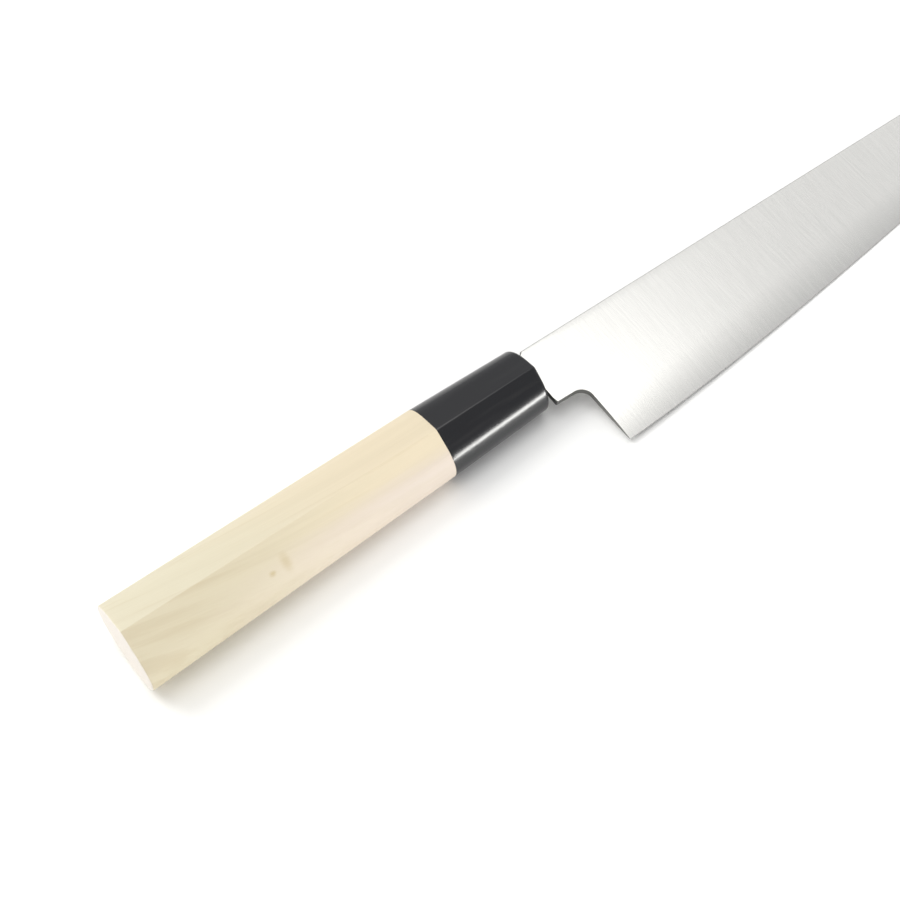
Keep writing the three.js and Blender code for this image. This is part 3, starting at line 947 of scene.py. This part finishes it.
class Finish(Wiring):
    """A material being wired up, with the knife's own axes as its coordinates."""

    def __init__(self, name):
        self.material = bpy.data.materials.new(name)
        self.material.use_nodes = True
        super().__init__(self.material.node_tree)
        self.tree.nodes.clear()
        self.shader = self.add("ShaderNodeBsdfPrincipled")
        self.add("ShaderNodeOutputMaterial", {"Surface": self.shader.outputs[0]})
        self.spot = self.add("ShaderNodeMapping", {
            "Vector": self.add("ShaderNodeTexCoord").outputs["Object"],
            "Location": LAID.translation,
            "Rotation": LAID.to_euler(),
        }, vector_type="TEXTURE").outputs[0]

    def shared(self, name, make, values):
        """A shader group's result; the group is built the first time that a material asks for it."""
        group = bpy.data.node_groups.get(name) or make()
        return self.add("ShaderNodeGroup", values, node_tree=group).outputs[0]

    def streaks(self, kind, spot=None):
        """Streaks of one kind, at the knife's own coordinates or at others."""
        cell, seed = STREAKS[kind]
        values = {"Vector": spot or self.spot, "Cell": cell, "Seed": seed}
        return self.shared("streaks", streak_group, values)

    def handling(self, patch, base, change):
        """Roughness that changes from place to place."""
        values = {"Vector": self.spot, "Patch": patch, "Base": base, "Change": change}
        return self.shared("handling", handling_group, values)

    def bump(self, height, depth):
        """A surface normal from a height between 0 and 1."""
        return self.add("ShaderNodeBump", {"Height": height, "Distance": depth}).outputs[0]

    def finish(self, **sockets):
        """Sets the shader's own sockets, named with underscores for spaces."""
        for name, value in sockets.items():
            self.fill(self.shader.inputs[name.replace("_", " ")], value)
        return self.material


def steel_material(colours):
    """Satin steel with polish lines and soft streaks across the blade, with painted shade and more roughness
    on its narrow walls.
    """
    finish = Finish("satin_steel")
    lines = finish.between(finish.streaks("polish_fine"), finish.streaks("polish_broad"), share=0.38)
    satin = finish.ramp(finish.streaks("satin"), low=0.36, high=0.64)
    tone = finish.tint(satin, shaded(colours.steel, share=0.955), colours.steel)
    walls = finish.add("ShaderNodeAttribute", attribute_name=WALLS).outputs["Fac"]
    roughness = finish.shifted(finish.handling(patch=0.03, base=0.2, change=0.02), lines, by=0.1)
    return finish.finish(
        # Painted shade: the narrow walls take the dark wall colour, standing in for the shaded floor that
        # they reflect.
        Base_Color=finish.tint(walls, tone, colours.steel_wall),
        Metallic=1.0,
        Roughness=finish.shifted(roughness, walls, by=0.12),
        Normal=finish.bump(lines, depth=0.000004))


def horn_material(colours):
    """Polished black horn with faint paler streaks along it."""
    finish = Finish("black_horn")
    cloud = finish.ramp(finish.streaks("horn_cloud"), low=0.52, high=0.72, smooth=True)
    hair = finish.streaks("horn_hair")
    return finish.finish(
        Base_Color=finish.tint(cloud, colours.horn, colours.horn_streak),
        Roughness=finish.shifted(finish.handling(patch=0.012, base=0.17, change=0.03), hair, by=0.06),
        IOR=1.6,
        Normal=finish.bump(hair, depth=0.000008))


def side_grain(finish, colours, parts, along, sway, grain):
    """Wood tone along the grain: deeper below the ridge, partly as painted shade, with painted light low in
    front, lines and pores.
    """
    from_ridge = finish.shifted(parts["Y"], parts["X"], by=-RIDGE_SLOPE)
    below_ridge = finish.fade(from_ridge, low=-0.0002, high=0.0002)
    # Painted light: the handle's lower side towards the front is made paler, standing in for light from a
    # near lamp in front.
    painted_light_low = finish.fade(finish.shifted(parts["Y"], sway, by=0.012), low=-0.008, high=-0.002)
    front = finish.ramp(finish.shifted(parts["X"], sway, by=0.05), low=0.015, high=0.095, smooth=True)
    # Below the ridge and away from the front the wood is made deeper: partly its own streak, partly painted
    # shade on the facet that faces away from the light.
    ridge_shade = finish.math("MULTIPLY", below_ridge, finish.math("SUBTRACT", 1.0, front))
    broad = finish.ramp(finish.streaks("wood_broad", along), low=0.40, high=0.66, smooth=True)
    lines = finish.ramp(finish.streaks("wood_lines", along), low=0.56, high=0.70, smooth=True)
    pores = finish.ramp(finish.streaks("wood_pores", along), low=0.66, high=0.8)
    tone = finish.tint(front, colours.wood, colours.wood_warm)
    ridge_shade_strength = finish.ramp(broad, low=0.0, high=1.0, to_low=0.45, to_high=0.75)
    tone = finish.mark(tone, colours.wood_deep, ridge_shade, ridge_shade_strength)
    tone = finish.mark(tone, colours.wood_pale, painted_light_low, front)
    tone = finish.mark(tone, colours.wood_deep, broad, strength=0.13)
    tone = finish.mark(tone, colours.wood_grain, lines, strength=0.16)
    tone = finish.mark(tone, colours.wood_grain, finish.ramp(grain, low=0.48, high=0.78), strength=0.12)
    return finish.mark(tone, colours.wood_grain, pores, strength=0.16)


def with_pin_knots(finish, colours, parts, tone, grain):
    """The wood's tone with its pin knots, which show on the right side alone."""
    right_side = finish.math("GREATER_THAN", parts["Z"], 0.0)
    frayed = finish.math("SUBTRACT", grain, 0.5)
    for x, y, run, rise, strength in PIN_KNOTS:
        off_x = finish.math("DIVIDE", finish.math("SUBTRACT", parts["X"], x), run)
        off_y = finish.math("DIVIDE", finish.math("SUBTRACT", parts["Y"], y), rise)
        square = finish.math("MULTIPLY_ADD", off_x, off_x, finish.math("MULTIPLY", off_y, off_y))
        away = finish.shifted(finish.math("SQRT", square), frayed, by=0.9)
        knot = finish.math("MULTIPLY", finish.fade(away, low=0.1, high=1.1), right_side)
        tone = finish.mark(tone, colours.wood_knot, knot, strength)
    return tone


def end_grain(finish, colours, sway):
    """The tone of the butt's sanded end, made paler partly as painted light from the left lamp, with growth
    rings round the tree's heart and fine pores.
    """
    from_heart = finish.shifted(finish.measure("DISTANCE", finish.spot, TREE_HEART), sway, by=0.0016)
    wave = finish.math("SINE", finish.math("MULTIPLY", from_heart, math.tau / RING_WIDTH))
    rings = finish.ramp(wave, low=-0.2, high=1.0, smooth=True)
    pores = finish.ramp(finish.streaks("end_pores"), low=0.5, high=0.8)
    tone = finish.mark(colours.wood_end, colours.wood, rings, strength=0.3)
    return finish.mark(tone, colours.wood, pores, strength=0.3)


def wood_material(colours):
    """Bare magnolia: grain that bends along the grip, two pin knots, and growth rings on its end."""
    finish = Finish("bare_magnolia")
    parts = finish.split(finish.spot)
    slope = finish.math("MULTIPLY_ADD", parts["X"], GRAIN_BEND, GRAIN_SLOPE)
    across = finish.math("MULTIPLY_ADD", parts["X"], slope, parts["Y"])
    along = finish.join(parts["X"], across, parts["Z"])
    sway = finish.math("SUBTRACT", finish.streaks("wood_sway", along), 0.5)
    grain = finish.streaks("wood_grain", along)
    tone = side_grain(finish, colours, parts, along, sway, grain)
    tone = with_pin_knots(finish, colours, parts, tone, grain)
    at_end = finish.fade(parts["X"], low=0.0001, high=0.0003, smooth=False)
    return finish.finish(
        Base_Color=finish.tint(at_end, tone, end_grain(finish, colours, sway)),
        Roughness=finish.shifted(finish.handling(patch=0.02, base=0.5, change=0.04), grain, by=0.12),
        Normal=finish.bump(grain, depth=0.00003))


def resin_material(colours):
    """Cast resin, a little cloudy."""
    finish = Finish("bedding_resin")
    cloud = finish.streaks("resin_cloud")
    return finish.finish(
        Base_Color=finish.tint(cloud, shaded(colours.resin, share=0.8), colours.resin),
        Roughness=finish.handling(patch=0.003, base=0.45, change=0.08))


def sealant_material(colours):
    """Dull dark filler with a fine pitted face."""
    finish = Finish("mouth_sealant")
    pits = finish.streaks("sealant_pits")
    return finish.finish(
        Base_Color=finish.tint(pits, colours.sealant, shaded(colours.sealant, share=1.7)),
        Roughness=finish.handling(patch=0.002, base=0.6, change=0.1),
        Normal=finish.bump(pits, depth=0.00004))


class KNIFE_OT_blade(bpy.types.Operator):
    """Build the blade with its neck and hidden tang"""

    bl_idname = "knife.blade"
    bl_label = "Blade"

    def execute(self, context):
        scene = context.scene
        points, faces, narrow = blade_mesh(scene.knife_blade)
        blade = new_piece("satin_blade", points, faces, steel_material(scene.knife_finish))
        walls = blade.data.attributes.new(WALLS, "FLOAT", "FACE")
        walls.data.foreach_set("value", [float(flag) for flag in narrow])
        hand_over(blade, "blade", SHARP_ON_BLADE)
        return {"FINISHED"}


class KNIFE_OT_handle(bpy.types.Operator):
    """Build the magnolia grip and the horn ferrule from one geometry tree"""

    bl_idname = "knife.handle"
    bl_label = "Grip and Ferrule"

    def execute(self, context):
        handle, colours = context.scene.knife_handle, context.scene.knife_finish
        tree = handle_tree()
        wide = half_span(TANG_RING) + handle.slot_margin
        grip = run_tree("magnolia_grip", tree, {
            **handle_values(handle, wood_material(colours)),
            **section_values("Start", handle.butt),
            **section_values("End", handle.seam),
            "Start": 0.0,
            "End": SEAM_X - handle.joint_line,
            "Start Ridge Softness": handle.butt_ridge_softness,
            "End Ridge Softness": handle.seam_ridge_softness,
            "Start Rounding": handle.butt_softening,
            "End Rounding": handle.joint_softening,
            "Round From": TANG_END_X,
            "Round To": TENON_FRONT_X,
            "Round Radius": TENON_RADIUS,
            "Hollow From": TANG_END_X - handle.slot_margin,
            "Hollow To": MOUTH_X,
            "Hollow From Half Width": half_span(TANG_END_RING) + handle.slot_margin,
            "Hollow To Half Width": wide,
            "Bored": False,
        })
        ferrule = run_tree("horn_ferrule", tree, {
            **handle_values(handle, horn_material(colours)),
            **section_values("Start", handle.seam),
            **section_values("End", handle.mouth),
            "Start": SEAM_X,
            "End": MOUTH_X,
            "End Bow": handle.mouth_bow,
            "Start Ridge Softness": handle.seam_ridge_softness,
            "End Ridge Softness": handle.mouth_ridge_softness,
            "Start Rounding": handle.joint_softening,
            "End Rounding": handle.mouth_rounding,
            "Round From": TANG_END_X,
            "Round To": TENON_FRONT_X + handle.joint_line,
            "Round Radius": TENON_RADIUS + handle.joint_line,
            "Hollow From": TENON_FRONT_X,
            "Hollow To": MOUTH_X + handle.seal_depth,
            "Hollow From Half Width": wide,
            "Hollow To Half Width": wide,
            "Bored": True,
        })
        hand_over(grip, "grip", SHARP_ON_HANDLE)
        hand_over(ferrule, "ferrule", SHARP_ON_HANDLE)
        return {"FINISHED"}


class KNIFE_OT_bedding(bpy.types.Operator):
    """Build the seal in the ferrule's mouth and finish the bedding behind it"""

    bl_idname = "knife.bedding"
    bl_label = "Seal and Bedding"

    def execute(self, context):
        handle, colours = context.scene.knife_handle, context.scene.knife_finish
        points, faces = seal_mesh(handle)
        seal = new_piece("mouth_seal_bead", points, faces, sealant_material(colours))
        hand_over(seal, "mouth_seal", SHARP_ON_HANDLE)
        bedding = frame["nodes"]["tang_bedding"].data
        bedding.materials.clear()
        bedding.materials.append(resin_material(colours))
        return {"FINISHED"}


def add_lamp(lamp, tone):
    """Hangs a lamp round the knife and turns it to face the knife."""
    light = bpy.data.lights.new(lamp.name, "AREA")
    light.shape = "RECTANGLE"
    light.size = lamp.width
    light.size_y = lamp.height
    light.energy = lamp.glow * math.pi * lamp.width * lamp.height
    light.color = tone
    facing = Vector(lamp.towards).normalized()
    across = (Vector((1, 0, 0)) - facing * facing.x).normalized()
    across.rotate(Matrix.Rotation(math.radians(lamp.degrees), 3, facing))
    turn = Matrix((across, facing.cross(across), facing)).transposed().to_4x4()
    add_object(lamp.name, light).matrix_world = Matrix.Translation(facing * lamp.distance) @ turn


def floor_material(stage):
    """Plain pale floor, very slightly mottled."""
    material = bpy.data.materials.new("pale_floor")
    material.use_nodes = True
    wiring = Wiring(material.node_tree)
    shader = wiring.tree.nodes["Principled BSDF"]
    spot = wiring.add("ShaderNodeTexCoord").outputs["Object"]
    mottle = wiring.add("ShaderNodeTexNoise", {"Vector": spot, "Scale": 3.0}).outputs["Fac"]
    tone = wiring.tint(mottle, shaded(stage.floor, share=0.99), stage.floor)
    wiring.fill(shader.inputs["Base Color"], tone)
    wiring.fill(shader.inputs["Roughness"], 0.4)
    return material


def light_room(stage):
    """Soft light from overhead, weaker from the sides, above the viewer and beyond the knife."""
    world = bpy.data.worlds.new("studio")
    world.use_nodes = True
    bpy.context.scene.world = world
    wiring = Wiring(world.node_tree)
    wiring.tree.nodes.clear()
    towards = wiring.add("ShaderNodeTexCoord").outputs["Generated"]
    overhead = wiring.ramp(wiring.split(towards)["Z"], low=0.15, high=0.8, smooth=True)
    room = wiring.tint(overhead, stage.room_low, stage.room)
    viewer, far_side = Vector(VIEWER_SIDE).normalized(), Vector(FAR_SIDE).normalized()
    above = wiring.ramp(wiring.measure("DOT_PRODUCT", towards, viewer), low=0.62, high=0.96)
    beyond = wiring.measure("DOT_PRODUCT", towards, far_side)
    beyond = wiring.ramp(beyond, low=0.85, high=0.966, smooth=True)
    shade = wiring.math("MAXIMUM", above, wiring.math("MULTIPLY", beyond, FAR_SIDE_SHADE))
    tone = wiring.tint(shade, room, stage.room_shade)
    glow = wiring.add("ShaderNodeBackground", {"Color": tone, "Strength": 1.0})
    wiring.add("ShaderNodeOutputWorld", {"Surface": glow.outputs[0]})


def set_camera(stage):
    """The camera at the photograph's angle."""
    camera = add_object("camera", bpy.data.cameras.new("camera"))
    camera.data.lens = stage.camera_lens
    camera.data.sensor_width = SENSOR_WIDTH
    camera.data.clip_start = NEAREST_SEEN
    flat = math.cos(stage.camera_elevation)
    view = Vector((
        flat * math.sin(stage.camera_azimuth),
        flat * math.cos(stage.camera_azimuth),
        -math.sin(stage.camera_elevation)))
    turn = view.to_track_quat("-Z", "Y").to_matrix().to_4x4()
    turn = turn @ Matrix.Rotation(stage.camera_roll, 4, "Z")
    stand = Vector(stage.camera_aim) - view * stage.camera_distance
    camera.matrix_world = Matrix.Translation(stand) @ turn
    bpy.context.scene.camera = camera


class KNIFE_OT_stage(bpy.types.Operator):
    """Set the floor, the lights and the camera"""

    bl_idname = "knife.stage"
    bl_label = "Stage"

    def execute(self, context):
        stage = context.scene.knife_stage
        reach = stage.floor_size / 2
        signs = (-1, -1), (1, -1), (1, 1), (-1, 1)
        corners = [(x * reach, y * reach, 0.0) for x, y in signs]
        floor = new_piece("floor", corners, [(0, 1, 2, 3)], floor_material(stage))
        light_room(stage)
        for lamp in LAMPS:
            add_lamp(lamp, stage.lamp)
        set_camera(stage)
        context.scene.view_settings.view_transform = "Standard"
        return {"FINISHED"}


def draw_settings(layout, settings):
    """Draws a group's settings in a box, and each group inside it in a box of its own."""
    box = layout.box()
    for name in type(settings).__annotations__:
        value = getattr(settings, name)
        if isinstance(value, bpy.types.PropertyGroup):
            draw_settings(box, value)
        else:
            box.prop(settings, name)


class KNIFE_PT_pieces(bpy.types.Panel):
    """Lists the knife's pieces and their settings in the sidebar"""

    bl_idname = "KNIFE_PT_pieces"
    bl_label = "Slicing Knife"
    bl_space_type = "VIEW_3D"
    bl_region_type = "UI"
    bl_category = "Knife"

    def draw(self, context):
        for operator in OPERATORS:
            self.layout.operator(operator.bl_idname)
        for name in SETTINGS:
            draw_settings(self.layout, getattr(context.scene, name))


OPERATORS = (KNIFE_OT_blade, KNIFE_OT_handle, KNIFE_OT_bedding, KNIFE_OT_stage)
SETTINGS = {
    "knife_handle": HandleSettings,
    "knife_blade": BladeSettings,
    "knife_finish": FinishSettings,
    "knife_stage": StageSettings,
}
CLASSES = (ButtSection, SeamSection, MouthSection, *SETTINGS.values(), *OPERATORS, KNIFE_PT_pieces)


def register():
    """Registers the classes and gives the scene its settings."""
    for item in CLASSES:
        bpy.utils.register_class(item)
    for name, group in SETTINGS.items():
        setattr(bpy.types.Scene, name, PointerProperty(type=group))


def unregister():
    """Takes the settings and the classes away again."""
    for name in SETTINGS:
        delattr(bpy.types.Scene, name)
    for item in reversed(CLASSES):
        bpy.utils.unregister_class(item)


def main():
    """Builds the knife and its stage."""
    register()
    bpy.ops.knife.blade()
    bpy.ops.knife.handle()
    bpy.ops.knife.bedding()
    bpy.ops.knife.stage()


if __name__ == "__main__":
    main()
